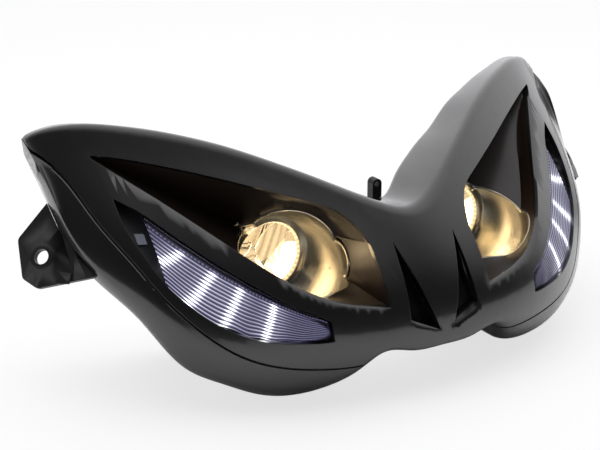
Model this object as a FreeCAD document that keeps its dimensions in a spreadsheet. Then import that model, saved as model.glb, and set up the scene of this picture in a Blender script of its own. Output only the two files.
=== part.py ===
import FreeCAD, Part
import math
import os

import Sketcher

# Twin headlight of a motorbike. Millimetres, +X to the viewer's right, +Y to the rear, +Z up.
# The part is symmetrical about X = 0. It is drawn in a nose frame, whose Y = 0 is the foremost
# point of the nose, and every finished piece is then moved forward by depth_mid.

Vec = FreeCAD.Vector
os.makedirs("parts", exist_ok=True)
doc = FreeCAD.newDocument("twin_headlight")

# Driving sizes
SIZES = (
    ("half_width", 209.0),
    ("chin_depth", 187.5),
    ("chin_power", 2.4),
    ("nose_lead", 1.5),
    ("crest_depth", 41.0),
    ("crest_sweep", 145.0),
    ("crest_belly", 5.0),
    ("crest_height", 113.5),
    ("crest_rise", 121.8),
    ("crest_fall", 71.3),
    ("crest_droop", 12.0),
    ("crest_blend", 25.0),
    ("face_lean", 48.0),
    ("crest_round", 8.0),
    ("edge_round", 5.0),
    ("heel_lead", 6.0),
    ("wall_inset", 3.5),
    ("seat_gap", 0.3),
    ("seat_on_body", 0.2),
    ("seam_gap", 1.6),
    ("seam_depth", 1.0),
    ("pocket_wall", 2.0),
    ("crease_x", 40.0),
    ("crease_y", 79.0),
    ("crease_z", 65.0),
    ("shoulder_drop", 6.0),
    ("shoulder_lean", 0.22),
    ("shoulder_start", 85.0),
    ("shoulder_blend", 30.0),
    ("shelf_lead", 15.0),
    ("strip_deep", 17.0),
    ("tray_wall", 1.5),
    ("board_thick", 1.6),
    ("diode_side", 5.0),
    ("diode_height", 2.2),
    ("lens_set", 4.0),
    ("lens_thick", 2.5),
    ("lens_rib", 1.0),
    ("lens_ribs", 14.0),
    ("lens_bow", 3.0),
    ("lens_start", 81.0),
    ("lens_end", 161.0),
    ("vent_deep", 11.0),
    ("vent_wall", 1.6),
    ("vent_fall", 0.62),
    ("lamp_x", 74.0),
    ("lamp_y", 100.0),
    ("lamp_z", 74.0),
    ("rim_rad", 25.35),
    ("rim_deep", 4.0),
    ("bowl_rad", 23.2),
    ("bowl_long", 26.0),
    ("neck_rad", 8.5),
    ("lamp_long", 38.0),
    ("glass_thick", 1.8),
    ("bowl_wall", 1.4),
    ("capsule_rad", 4.4),
    ("capsule_start", 13.0),
    ("pin_rad", 0.8),
    ("pin_half", 2.65),
    ("pin_long", 7.0),
    ("cup_lip", 23.9),
    ("cup_rad", 27.5),
    ("cup_wide", 37.3),
    ("cup_reach", 30.0),
    ("cup_curve", 46.3),
    ("cup_back", 52.8),
    ("cup_wall", 1.2),
    ("fit_gap", 0.25),
    ("collar_wall", 3.4),
    ("collar_long", 10.0),
    ("tunnel_wall", 3.0),
    ("tunnel_start", 106.0),
    ("tunnel_end", 150.0),
    ("holder_rad", 12.5),
    ("holder_long", 12.0),
    ("clip_side", 1.6),
    ("boot_wall", 2.5),
    ("boot_start", 108.0),
    ("boot_bend", 133.0),
    ("boot_lip", 2.0),
    ("holder_room", 2.0),
    ("plug_room", 1.5),
    ("boot_spout", 9.0),
    ("spout_rad", 6.5),
    ("spout_bore", 4.0),
    ("ear_x", 215.0),
    ("ear_y", 143.5),
    ("ear_z", 85.8),
    ("ear_thick", 3.5),
    ("ear_lift", 1.5),
    ("ear_bore", 5.0),
    ("ear_boss", 9.5),
    ("ear_boss_deep", 1.5),
    ("ear_slot_along", 28.5),
    ("ear_slot_up", 15.2),
    ("ear_slot_wide", 3.4),
    ("ear_slot_long", 8.0),
    ("lug_wide", 7.0),
    ("lug_thick", 5.0),
    ("lug_top", 120.0),
    ("lug_low", 80.0),
    ("lug_bore", 2.0),
    ("screw_rad", 1.9),
    ("screw_head", 3.8),
    ("screw_head_deep", 2.6),
    ("screw_long", 15.0),
    ("tab_rad", 5.0),
    ("tab_long", 12.0),
)

# Stations along the half span, from the middle to the tip: name, distance from the middle, height of
# the chin, length of the jaw behind the chin, height of the base, height of the heel, depth and height
# of the rear edge
STATIONS = (
    ("nose", 0, 38, 4.5, 30.5, 48, 84, 106.5),
    ("saddle", 24, 39, 6, 31, 47, 99, 115),
    ("notch", 44, 40, 14, 32, 42, 113.5, 122.5),
    ("cheek", 59, 41, 28, 15, 16, 122.5, 128),
    ("bulge", 76, 42, 40, 2.5, 2, 131.5, 134),
    ("belly", 98, 41, 38, 0, 0, 144, 144.5),
    ("flank", 117, 38, 28, 6, 10, 153.5, 150),
    ("shoulder", 137, 38, 25, 15, 30, 164, 154.5),
    ("hip", 156, 46, 22, 27, 62, 173, 157.5),
    ("root", 176, 67, 17, 57, 95, 182.5, 160),
    ("flare", 193, 86, 13, 78, 117, 188.5, 158.5),
    ("crook", 203, 113, 9, 104, 130, 190.5, 155.5),
    ("tip", 207.5, 138, 6, 132, 142, 190.8, 152.5),
)
STATION_KEYS = ("x", "chin_z", "jaw", "base_z", "heel_z", "rear_y", "rear_z")

# Edges of the lamp window: name, distance from the middle, upper height, lower height, and the drop
# of the shelf behind the lower edge
LAMP_WINDOW = (
    ("win_a", 38.5, 97.0, 62.5, 0.0),
    ("win_b", 42.5, 106.5, 63.4, 0.0),
    ("win_c", 49.0, 114.0, 64.7, 0.0),
    ("win_d", 63.0, 120.5, 67.5, 0.0),
    ("win_e", 80.0, 126.0, 73.0, 5.0),
    ("win_f", 104.0, 133.0, 87.0, 9.0),
    ("win_g", 129.0, 139.5, 107.0, 6.0),
    ("win_h", 151.0, 144.0, 125.0, 2.0),
    ("win_i", 168.0, 146.6, 138.0, 0.0),
    ("win_j", 178.0, 147.2, 145.6, 0.0),
)

# Edges of the light strip's window: name, distance from the middle, upper height, lower height
STRIP_WINDOW = (
    ("slot_a", 79.0, 60.0, 48.0),
    ("slot_b", 84.0, 63.0, 47.5),
    ("slot_c", 98.0, 69.5, 48.0),
    ("slot_d", 113.0, 78.5, 49.0),
    ("slot_e", 126.0, 87.5, 52.0),
    ("slot_f", 139.0, 97.5, 58.0),
    ("slot_g", 152.0, 108.5, 68.0),
    ("slot_h", 164.0, 119.0, 83.0),
    ("slot_i", 170.0, 122.5, 97.0),
    ("slot_j", 173.5, 124.5, 108.0),
    ("slot_k", 174.6, 124.2, 117.0),
)

# Corners of a nose vent: name, distance from the middle, height
VENT = (
    ("vent_top", 23.5, 97.0),
    ("vent_low", 26.5, 53.0),
    ("vent_mid", 5.0, 43.0),
)

# Line of the seam between cover and housing, seen from the side: name, depth, height
SEAM = (
    ("seam_a", -30.0, 28.0),
    ("seam_b", 8.0, 28.5),
    ("seam_c", 16.0, 31.5),
    ("seam_d", 28.0, 38.0),
    ("seam_e", 41.0, 48.0),
    ("seam_f", 57.0, 62.5),
    ("seam_g", 87.0, 90.5),
    ("seam_h", 119.0, 112.5),
    ("seam_i", 153.0, 136.0),
    ("seam_j", 175.0, 147.5),
    ("seam_k", 230.0, 165.0),
)

# Outline of a mounting ear in its own plane, from the bore: name, along towards the body, up
EAR = (
    ("ear_apex", -4.0, 37.5),
    ("ear_side", -20.0, 9.5),
    ("ear_corner", -10.5, -15.5),
    ("ear_foot", 1.0, -20.5),
    ("ear_heel", 44.0, -6.5),
    ("ear_toe", 46.0, 0.5),
    ("ear_step", 41.0, 11.0),
    ("ear_neck", 30.0, 21.0),
)

# Housing screws: name, distance from the middle, depth of the head's seat, height
SCREWS = (
    ("screw_in", 20.0, 102.0, 86.0),
    ("screw_out", 128.0, 164.5, 128.0),
)


def fill_sheet():
    """Write every driving size into the sheet, one named cell for each."""
    rows = list(SIZES)
    for name, *numbers in STATIONS:
        rows += [(f"{name}_{key}", number) for key, number in zip(STATION_KEYS, numbers)]
    for name, span, upper, lower, *drop in LAMP_WINDOW + STRIP_WINDOW:
        rows += [(f"{name}_x", span), (f"{name}_upper", upper), (f"{name}_lower", lower)]
        rows += [(f"{name}_drop", number) for number in drop]
    for name, span, height in VENT:
        rows += [(f"{name}_x", span), (f"{name}_z", height)]
    for name, depth, height in SEAM:
        rows += [(f"{name}_y", depth), (f"{name}_z", height)]
    for name, along, up in EAR:
        rows += [(f"{name}_along", along), (f"{name}_up", up)]
    for name, span, depth, height in SCREWS:
        rows += [(f"{name}_x", span), (f"{name}_y", depth), (f"{name}_z", height)]
    for row, (alias, number) in enumerate(rows, start=1):
        sheet.set(f"A{row}", alias)
        sheet.set(f"B{row}", str(float(number)))
        sheet.setAlias(f"B{row}", alias)


sheet = doc.addObject("Spreadsheet::Sheet", "sizes")
fill_sheet()
doc.recompute()


def size(alias):
    return float(sheet.get(alias))


# Shape of the body


def monotone(points, x):
    """Smooth curve through (x, value) points that never overshoots them, at x."""
    n = len(points)
    step = [points[i + 1][0] - points[i][0] for i in range(n - 1)]
    slope = [(points[i + 1][1] - points[i][1]) / step[i] for i in range(n - 1)]
    tangent = [slope[0]]
    for i in range(1, n - 1):
        if slope[i - 1] * slope[i] <= 0:
            tangent.append(0.0)
            continue
        before = 2 * step[i] + step[i - 1]
        after = step[i] + 2 * step[i - 1]
        tangent.append((before + after) / (before / slope[i - 1] + after / slope[i]))
    tangent.append(slope[-1])
    x = min(max(x, points[0][0]), points[-1][0])
    i = min(sum(1 for p in points[1:-1] if p[0] <= x), n - 2)
    u = (x - points[i][0]) / step[i]
    return (
        (1 + 2 * u) * (1 - u) ** 2 * points[i][1]
        + u * (1 - u) ** 2 * step[i] * tangent[i]
        + u * u * (3 - 2 * u) * points[i + 1][1]
        + u * u * (u - 1) * step[i] * tangent[i + 1]
    )


def station_curve(key):
    return [(size(f"{row[0]}_x"), size(f"{row[0]}_{key}")) for row in STATIONS]


CURVES = {key: station_curve(key) for key in STATION_KEYS[1:]}
HALF = size("half_width")


def crest(span):
    """Depth and height of the ridge that runs from the saddle to the wing tip."""
    blend = size("crest_blend")
    share = (math.hypot(span, blend) - blend) / (math.hypot(HALF, blend) - blend)
    depth = size("crest_depth") + size("crest_sweep") * share
    depth += size("crest_belly") * math.sin(math.pi * share)
    height = size("crest_height") + size("crest_rise") * share - size("crest_fall") * share ** 2
    return depth, height - size("crest_droop") * share ** 12


def chin(span):
    """Depth and height of the foremost line of the body."""
    share = min(span / HALF, 1.0) ** size("chin_power")
    depth = size("chin_depth") * (1 - math.sqrt(1 - share)) - size("nose_lead")
    return depth, monotone(CURVES["chin_z"], span)


def unit(a, b):
    length = math.hypot(b[0] - a[0], b[1] - a[1])
    return ((b[0] - a[0]) / length, (b[1] - a[1]) / length)


def shifted(point, direction, distance):
    return (point[0] + direction[0] * distance, point[1] + direction[1] * distance)


def inward(direction):
    return (-direction[1], direction[0])


def mitred(corner, arriving, leaving, inset):
    """Corner moved inward by inset from both of the edges that meet there."""
    first, second = inward(arriving), inward(leaving)
    scale = inset / (1 + first[0] * second[0] + first[1] * second[1])
    return (corner[0] + (first[0] + second[0]) * scale, corner[1] + (first[1] + second[1]) * scale)


def section(span, inset=0.0):
    """Control points, as (depth, height), of the closed outline of the body at a distance span.

    The outline runs from the rear edge over the ridge, down the face to the chin, round the jaw to
    the base and back up the rear wall. It has eight edges at every station.
    """
    rear = (monotone(CURVES["rear_y"], span), monotone(CURVES["rear_z"], span))
    top = crest(span)
    front = chin(span)
    base = (front[0] + monotone(CURVES["jaw"], span), monotone(CURVES["base_z"], span))
    heel_lead = size("heel_lead") * min(1.0, (base[0] - front[0]) / 10)
    heel = (rear[0] - heel_lead, monotone(CURVES["heel_z"], span))

    chord = math.hypot(front[0] - top[0], front[1] - top[1])
    lean = math.radians(size("face_lean"))
    straight = max(0.0, (span - 180) / (HALF - 180))
    chord_way = unit(top, front)
    face_way = (
        -math.cos(lean) * (1 - straight) + chord_way[0] * straight,
        -math.sin(lean) * (1 - straight) + chord_way[1] * straight,
    )
    face_way = unit((0, 0), face_way)
    chin_way = unit((0, 0), (chord_way[0] * straight, -(1 - straight) + chord_way[1] * straight))
    top_way, base_way, rear_way = unit(rear, top), unit(base, heel), unit(heel, rear)

    rear_in = mitred(rear, rear_way, top_way, inset)
    top_in = mitred(top, top_way, face_way, inset)
    front_in = shifted(front, inward(chin_way), inset)
    base_in = shifted(base, inward(base_way), inset)
    heel_in = mitred(heel, base_way, rear_way, inset)

    top_length = math.hypot(top_in[0] - rear_in[0], top_in[1] - rear_in[1])
    rear_length = math.hypot(heel_in[0] - rear_in[0], heel_in[1] - rear_in[1])
    base_length = math.hypot(heel_in[0] - base_in[0], heel_in[1] - base_in[1])
    ridge_cut = min(size("crest_round"), 0.3 * top_length, 0.25 * chord)
    edge_cut = min(size("edge_round"), 0.3 * top_length, 0.3 * rear_length, 0.4 * base_length)

    face_start = shifted(top_in, face_way, ridge_cut)
    pull = 0.30 * max(0.15, 1 - (span / HALF) ** 6)
    pull = pull * (1 - straight) + 0.33 * straight
    jaw_long = 0.55 * (front_in[0] - base_in[0]), 0.55 * (front_in[1] - base_in[1])
    return [
        [shifted(rear_in, top_way, edge_cut), shifted(top_in, top_way, -ridge_cut)],
        [shifted(top_in, top_way, -ridge_cut), top_in, face_start],
        [
            face_start,
            shifted(face_start, face_way, 0.30 * chord),
            shifted(front_in, chin_way, -pull * chord),
            front_in,
        ],
        [
            front_in,
            shifted(front_in, chin_way, abs(jaw_long[1])),
            shifted(base_in, base_way, -abs(jaw_long[0])),
            base_in,
        ],
        [base_in, shifted(heel_in, base_way, -edge_cut)],
        [shifted(heel_in, base_way, -edge_cut), heel_in, shifted(heel_in, rear_way, edge_cut)],
        [shifted(heel_in, rear_way, edge_cut), shifted(rear_in, rear_way, -edge_cut)],
        [shifted(rear_in, rear_way, -edge_cut), rear_in, shifted(rear_in, top_way, edge_cut)],
    ]


def curve_edge(x, points):
    poles = [Vec(x, depth, height) for depth, height in points]
    if len(poles) == 2:
        return Part.LineSegment(*poles).toShape()
    curve = Part.BezierCurve()
    curve.setPoles(poles)
    return curve.toShape()


def section_wire(x, span, inset=0.0):
    return Part.Wire([curve_edge(x, points) for points in section(span, inset)])


def body_form(inset=0.0):
    """Solid of the whole body, inset from its outer skin all round."""
    spans = [size(f"{row[0]}_x") for row in STATIONS]
    if inset > 0:
        spans = spans[:-2] + [size("crook_x") - 5]
    shrink = (HALF - inset) / HALF
    signed = [-span for span in reversed(spans)] + spans[1:]
    return Part.makeLoft([section_wire(x * shrink, abs(x), inset) for x in signed], True)


# Frame of the finished part: the middle of the body's length and depth, on the surface it rests on
NOSE_BOX = body_form().optimalBoundingBox()
SHIFT = Vec(0, -(NOSE_BOX.YMin + NOSE_BOX.YMax) / 2, -NOSE_BOX.ZMin)


def face_depth(span, height):
    """Depth of the body's face at a distance from the middle and a height."""
    poles = section(abs(span))[2]
    low, high = 0.0, 1.0
    for _ in range(40):
        middle = (low + high) / 2
        if bezier(poles, middle)[1] > height:
            low = middle
        else:
            high = middle
    return bezier(poles, low)[0]


def bezier(poles, t):
    weights = ((1 - t) ** 3, 3 * (1 - t) ** 2 * t, 3 * (1 - t) * t * t, t ** 3)
    return tuple(sum(w * pole[i] for w, pole in zip(weights, poles)) for i in (0, 1))


# Document objects


def feature(name, shape, shift=SHIFT):
    """Object that holds a shape drawn in the nose frame."""
    item = doc.addObject("Part::Feature", name)
    item.Shape = shape.translated(shift)
    return item


def fused(name, *parts):
    item = doc.addObject("Part::MultiFuse", name)
    item.Shapes = list(parts)
    return item


def cut(name, base, *tools):
    item = doc.addObject("Part::Cut", name)
    item.Base = base
    item.Tool = tools[0] if len(tools) == 1 else fused(f"{name}_tools", *tools)
    return item


def common(name, *parts):
    item = doc.addObject("Part::MultiCommon", name)
    item.Shapes = list(parts)
    return item


def mirrored(name, source):
    item = doc.addObject("Part::Mirroring", name)
    item.Source = source
    item.Normal = Vec(1, 0, 0)
    return item


def largest(shape):
    """The largest solid of a shape, without the slivers that a cut may leave beside it."""
    return max(shape.Solids, key=lambda solid: solid.Volume)


def polygon(points):
    return Part.makePolygon([Vec(*point) for point in points] + [Vec(*points[0])])


# Body, seam and housing


def below_seam(name, drop):
    """Everything below the seam, lowered by drop, as a prism across the whole width."""
    points = [(size(f"{row[0]}_y"), size(f"{row[0]}_z") - drop) for row in SEAM]
    seam = Part.BSplineCurve()
    seam.interpolate([Vec(-HALF - 40, depth, height) for depth, height in points])
    first, last = points[0], points[-1]
    corners = [(-HALF - 40, last[0], last[1]), (-HALF - 40, last[0], -60)]
    corners += [(-HALF - 40, first[0], -60), (-HALF - 40, first[0], first[1])]
    rest = Part.makePolygon([Vec(*corner) for corner in corners])
    face = Part.Face(Part.Wire([seam.toShape()] + rest.Edges))
    return feature(name, face.extrude(Vec(2 * HALF + 80, 0, 0)))


outer_form = feature("outer_form", body_form())
inner_form = feature("inner_form", body_form(size("wall_inset")))
seam_form = feature("seam_form", body_form(size("seam_depth")))
inside_form = feature("inside_form", body_form(size("wall_inset") + size("seat_gap")))
body_shell = cut("body_shell", outer_form, inner_form)
under_cover = below_seam("under_cover", 0.0)
over_housing = below_seam("over_housing", size("seam_gap"))


# Windows and the hollows behind them


def lamp_hollow(grow=0.0):
    """Hollow behind the lamp window: a shouldered upper wall and a shelf that meet in a deep crease."""
    keys = ("x", "upper", "lower", "drop")
    rows = [[size(f"{row[0]}_{key}") for key in keys] for row in LAMP_WINDOW]
    first, last = rows[0][0], rows[-1][0]
    tip_z = rows[-1][1]
    tip_y = face_depth(last, tip_z) + size("wall_inset")
    wires = []
    for span, upper, lower, drop in rows:
        share = max(0.0, (span - size("crease_x")) / (last - size("crease_x")))
        upper_y = face_depth(span, upper) + size("wall_inset") + 0.5 * grow
        lower_y = face_depth(span, lower) + size("wall_inset") + 0.5 * grow
        crease_y = size("crease_y") + (tip_y - size("crease_y")) * share + 1.5 * grow
        crease_y = max(crease_y, upper_y + 1.0)
        crease_z = size("crease_z") + (tip_z - size("crease_z")) * share
        x = span + grow * (2 * (span - first) / (last - first) - 1)
        top, low = upper + grow, lower - grow

        rise = max(0.5, 1 - size("shoulder_drop") / max(upper - crease_z, 1.0))
        shoulder_z = crease_z + (top - crease_z) * rise
        straight_y = crease_y + (upper_y - crease_y) * rise
        steep_y = crease_y - size("shoulder_lean") * (shoulder_z - crease_z)
        steep = (size("shoulder_start") - span) / size("shoulder_blend")
        shoulder_y = straight_y + (steep_y - straight_y) * min(max(steep, 0.0), 1.0)
        shelf_y = lower_y + min(size("shelf_lead"), 0.5 * (crease_y - lower_y))
        wires.append(
            polygon(
                [
                    (x, -40, top),
                    (x, upper_y, top),
                    (x, shoulder_y, shoulder_z),
                    (x, crease_y, crease_z),
                    (x, shelf_y, low - drop),
                    (x, lower_y, low),
                    (x, -40, low),
                ]
            )
        )
    return Part.makeLoft(wires, True)


def strip_rows():
    return [[size(f"{row[0]}_{key}") for key in ("x", "upper", "lower")] for row in STRIP_WINDOW]


def strip_slab(near, far, side=0.0):
    """Slab that follows the strip's window, from near to far behind the face, and side wider."""
    rows = strip_rows()
    first, last = rows[0][0], rows[-1][0]
    wires = []
    for span, upper, lower in rows:
        x = span + side * (2 * (span - first) / (last - first) - 1)
        upper_y, lower_y = face_depth(span, upper), face_depth(span, lower)
        front = [-40, -40] if near is None else [upper_y + near, lower_y + near]
        wires.append(
            polygon(
                [
                    (x, front[0], upper + side),
                    (x, upper_y + far, upper + side),
                    (x, lower_y + far, lower - side),
                    (x, front[1], lower - side),
                ]
            )
        )
    return Part.makeLoft(wires, True)


def vent_prism(near, far, grow=0.0):
    """Three-cornered prism of a nose vent, from near to far behind the face."""
    corners = [(size(f"{row[0]}_x"), size(f"{row[0]}_z")) for row in VENT]
    middle = [sum(corner[i] for corner in corners) / 3 for i in (0, 1)]
    points = []
    for span, height in corners:
        reach = math.hypot(span - middle[0], height - middle[1])
        scale = 1 + 2 * grow / reach
        x = middle[0] + (span - middle[0]) * scale
        z = middle[1] + (height - middle[1]) * scale
        points.append((x, face_depth(x, z) + near, z))
    return Part.Face(polygon(points)).extrude(Vec(0, far - near, 0))


strip_deep = size("strip_deep")
tray_wall = size("tray_wall")
lamp_opening = feature("lamp_opening", lamp_hollow())
strip_opening = feature("strip_opening", strip_slab(None, strip_deep))
vent_hollow = feature("vent_hollow", vent_prism(-20.0, size("vent_deep")))
vent_bowl = feature(
    "vent_bowl",
    vent_prism(size("wall_inset") / 2, size("vent_deep") + size("vent_wall"), size("vent_wall")),
)
far_lamp_opening = mirrored("far_lamp_opening", lamp_opening)
far_strip_opening = mirrored("far_strip_opening", strip_opening)
far_vent_hollow = mirrored("far_vent_hollow", vent_hollow)
far_vent_bowl = mirrored("far_vent_bowl", vent_bowl)


# Front cover, gasket and rear housing


def along_depth(name, radius, start, end, x, z):
    """Part::Cylinder along Y. Each argument after the name is an expression on the sheet."""
    rod = doc.addObject("Part::Cylinder", name)
    rod.setExpression("Radius", radius)
    rod.setExpression("Height", f"({end}) - ({start})")
    rod.Placement = FreeCAD.Placement(Vec(), FreeCAD.Rotation(Vec(1, 0, 0), -90))
    rod.setExpression("Placement.Base.x", x)
    rod.setExpression("Placement.Base.y", f"({start}) + {SHIFT.y}")
    rod.setExpression("Placement.Base.z", f"({z}) + {SHIFT.z}")
    return rod


COLLAR = "(sizes.rim_rad + sizes.fit_gap + sizes.collar_wall)"
TUNNEL = f"({COLLAR} + sizes.fit_gap)"
SIDES = (("left", -1), ("right", 1))

housing_skin = common("housing_skin", body_shell, over_housing)
cover_skin = cut("cover_skin", body_shell, under_cover)


def screw_places():
    for row in SCREWS:
        for side, sign in SIDES:
            yield f"{side}_{row[0]}", row[0], sign


def screw_bosses():
    """Pads behind the rear wall that give each screw head a flat seat."""
    pads = []
    for name, row, sign in screw_places():
        seat = f"sizes.{row}_y"
        x, z = f"{sign} * sizes.{row}_x", f"sizes.{row}_z"
        pads.append(along_depth(f"{name}_pad", "sizes.tab_rad", f"{seat} - 10", seat, x, z))
    return pads


def screw_tabs():
    """Tabs that hang from the cover inside the rear wall and take the screws."""
    tabs = []
    for name, row, sign in screw_places():
        tab = doc.addObject("Part::Box", f"{name}_tab")
        tab.setExpression("Length", "2 * sizes.tab_rad")
        tab.setExpression("Width", "sizes.tab_long")
        tab.setExpression("Height", "40")
        tab.setExpression("Placement.Base.x", f"{sign} * sizes.{row}_x - sizes.tab_rad")
        tab.setExpression("Placement.Base.y", f"sizes.{row}_y - 4 - sizes.tab_long + {SHIFT.y}")
        tab.setExpression("Placement.Base.z", f"sizes.{row}_z - sizes.tab_rad + {SHIFT.z}")
        tabs.append(tab)
    return tabs


def screw_holes(name, radius):
    rods = []
    for place, row, sign in screw_places():
        seat = f"sizes.{row}_y"
        x, z = f"{sign} * sizes.{row}_x", f"sizes.{row}_z"
        rods.append(
            along_depth(f"{place}_{name}", radius, f"{seat} - sizes.screw_long", f"{seat} + 5", x, z)
        )
    return rods


def tunnels():
    """Tubes inside the rear wall that carry the lamps' collars, and the bores of the tubes."""
    tubes, bores = [], []
    for side, sign in SIDES:
        x = f"{sign} * sizes.lamp_x"
        outer = f"{TUNNEL} + sizes.tunnel_wall"
        start, end = "sizes.tunnel_start", "sizes.tunnel_end"
        tube = along_depth(f"{side}_tube", outer, start, end, x, "sizes.lamp_z")
        tubes.append(common(f"{side}_tube_inside", tube, outer_form))
        bores.append(
            along_depth(f"{side}_bore", TUNNEL, f"{start} - 5", f"{end} + 5", x, "sizes.lamp_z")
        )
    return tubes, bores


def saddle_lug():
    """Upright lug with a round top and a hole, behind the saddle."""
    wide, thick = size("lug_wide"), size("lug_thick")
    front = monotone(CURVES["rear_y"], 0) - size("wall_inset") / 2
    top, low = size("lug_top") - wide / 2, size("lug_low")
    half = wide / 2
    sides = [
        Part.LineSegment(Vec(half, front, top), Vec(half, front, low)),
        Part.LineSegment(Vec(half, front, low), Vec(-half, front, low)),
        Part.LineSegment(Vec(-half, front, low), Vec(-half, front, top)),
        Part.Arc(Vec(-half, front, top), Vec(0, front, top + half), Vec(half, front, top)),
    ]
    plate = Part.Face(Part.Wire([edge.toShape() for edge in sides]))
    plate = plate.extrude(Vec(0, thick + size("wall_inset") / 2, 0))
    hole = Part.makeCylinder(size("lug_bore"), 40, Vec(0, front - 20, top), Vec(0, 1, 0))
    return plate.cut(hole)


tubes, bores = tunnels()
housing_blank = fused("housing_blank", housing_skin, *tubes, *screw_bosses())
rear_housing = cut("rear_housing", housing_blank, *bores, *screw_holes("clear_hole", "sizes.screw_rad + 0.1"))

seal_band = cut("seal_band", under_cover, over_housing)
seal_ring = cut("seal_ring", seam_form, inner_form)
seam_gasket = common("seam_gasket", seal_ring, seal_band)

tab_blanks = fused("tab_blanks", *screw_tabs())
tabs_inside = common("tabs_inside", tab_blanks, seam_form)
tabs = cut("tabs", tabs_inside, housing_blank, seam_gasket)
cover_blank = fused("cover_blank", cover_skin, vent_bowl, far_vent_bowl, tabs)
front_cover = cut(
    "front_cover",
    cover_blank,
    lamp_opening,
    far_lamp_opening,
    strip_opening,
    far_strip_opening,
    vent_hollow,
    far_vent_hollow,
    *screw_holes("pilot_hole", "sizes.screw_rad"),
)


# Turned pieces


def turned(name, profile):
    """PartDesign::Body revolved about the depth axis.

    The profile is a closed outline of (radius, depth) expressions. A third entry is the radius of
    the arc that leads on from that corner, positive where it bulges away from the axis.
    """
    body = doc.addObject("PartDesign::Body", name)
    sketch = body.newObject("Sketcher::SketchObject", f"{name}_profile")
    plane = next(item for item in body.Origin.OriginFeatures if item.Role == "XY_Plane")
    sketch.AttachmentSupport = (plane, [""])
    sketch.MapMode = "FlatFace"
    corners = [Vec(number(row[0]), number(row[1]), 0) for row in profile]
    count = len(corners)
    ends = []
    for i, row in enumerate(profile):
        start, end = corners[i], corners[(i + 1) % count]
        ends.append((1, 2))
        if len(row) == 2:
            sketch.addGeometry(Part.LineSegment(start, end), False)
            continue
        middle = arc_middle(start, end, number(row[2]))
        sketch.addGeometry(Part.Arc(start, middle, end), False)
        if (end - start).cross(middle - start).z > 0:
            ends[-1] = (2, 1)
    for i, row in enumerate(profile):
        after = (i + 1) % count
        first = ends[i][0]
        sketch.addConstraint(Sketcher.Constraint("Coincident", i, ends[i][1], after, ends[after][0]))
        if row[0] == "0":
            sketch.addConstraint(Sketcher.Constraint("PointOnObject", i, first, -2))
        else:
            bind(sketch, Sketcher.Constraint("DistanceX", -1, 1, i, first, corners[i].x), row[0])
        bind(sketch, Sketcher.Constraint("DistanceY", -1, 1, i, first, corners[i].y), row[1])
        if len(row) == 3:
            bind(sketch, Sketcher.Constraint("Radius", i, abs(number(row[2]))), f"abs({row[2]})")
    turn = body.newObject("PartDesign::Revolution", f"{name}_turn")
    turn.Profile = sketch
    turn.ReferenceAxis = (sketch, ["V_Axis"])
    turn.Angle = 360
    return body


def bind(sketch, constraint, expression):
    index = sketch.addConstraint(constraint)
    sketch.setExpression(f"Constraints[{index}]", expression)


def number(expression):
    """Value of an expression on the sheet."""
    return float(sheet.evalExpression(expression))


def arc_middle(start, end, radius):
    """Middle of the arc from start to end that bulges away from the axis if radius is positive."""
    chord = end - start
    half = chord.Length / 2
    rise = abs(radius) - math.sqrt(radius * radius - half * half)
    normal = Vec(chord.y, -chord.x, 0).normalize()
    if (normal.x > 0) != (radius > 0):
        normal = normal * -1
    return (start + end) * 0.5 + normal * rise


def on_lamp(body, sign):
    """Place a turned piece on a lamp's axis."""
    body.setExpression("Placement.Base.x", f"{sign} * sizes.lamp_x")
    body.setExpression("Placement.Base.y", f"sizes.lamp_y + {SHIFT.y}")
    body.setExpression("Placement.Base.z", f"sizes.lamp_z + {SHIFT.z}")
    return body


LAMP_BORE = "(sizes.rim_rad + sizes.fit_gap)"
BULB_BORE = "(sizes.capsule_rad + sizes.fit_gap)"
GLASS_RAD = "(sizes.rim_rad - 1.2)"


def cup_profile():
    tip = "(sizes.cup_reach + sizes.cup_wide)"
    outer = "(sizes.cup_wide + sizes.cup_wall)"
    return [
        ("sizes.cup_lip", "-1.5"),
        ("sizes.cup_rad", "-1.5", "sizes.cup_curve"),
        ("sizes.cup_wide", "-sizes.cup_reach", "sizes.cup_wide"),
        ("0", f"-{tip}"),
        ("0", f"-{tip} - sizes.cup_wall", outer),
        (outer, "-sizes.cup_reach", "sizes.cup_back"),
        (COLLAR, "0.2"),
        (COLLAR, "sizes.collar_long"),
        (LAMP_BORE, "sizes.collar_long"),
        (LAMP_BORE, "-0.2"),
        ("sizes.cup_lip", "-0.2"),
    ]


def cup_clearance_profile():
    gap = "sizes.seat_gap"
    outer = f"(sizes.cup_wide + sizes.cup_wall + {gap})"
    tube = f"sizes.tunnel_start - sizes.lamp_y - {gap}"
    return [
        ("0", f"-sizes.cup_reach - {outer}", outer),
        (outer, "-sizes.cup_reach", "sizes.cup_back"),
        (f"{COLLAR} + {gap}", "0.2"),
        (f"{COLLAR} + {gap}", tube),
        (f"{TUNNEL} + sizes.tunnel_wall + {gap}", tube),
        (f"{TUNNEL} + sizes.tunnel_wall + {gap}", "sizes.collar_long + 20"),
        ("0", "sizes.collar_long + 20"),
    ]


def bowl_profile():
    end = "sizes.rim_deep + sizes.bowl_long"
    return [
        (GLASS_RAD, "0"),
        ("sizes.rim_rad", "0"),
        ("sizes.rim_rad", "sizes.rim_deep"),
        ("sizes.bowl_rad", "sizes.rim_deep", "34"),
        ("sizes.neck_rad", end),
        ("sizes.neck_rad", "sizes.lamp_long"),
        (BULB_BORE, "sizes.lamp_long"),
        (BULB_BORE, f"{end} - sizes.bowl_wall", "32"),
        ("sizes.bowl_rad - sizes.bowl_wall", "sizes.glass_thick + 0.1"),
        (GLASS_RAD, "sizes.glass_thick + 0.1"),
    ]


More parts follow.
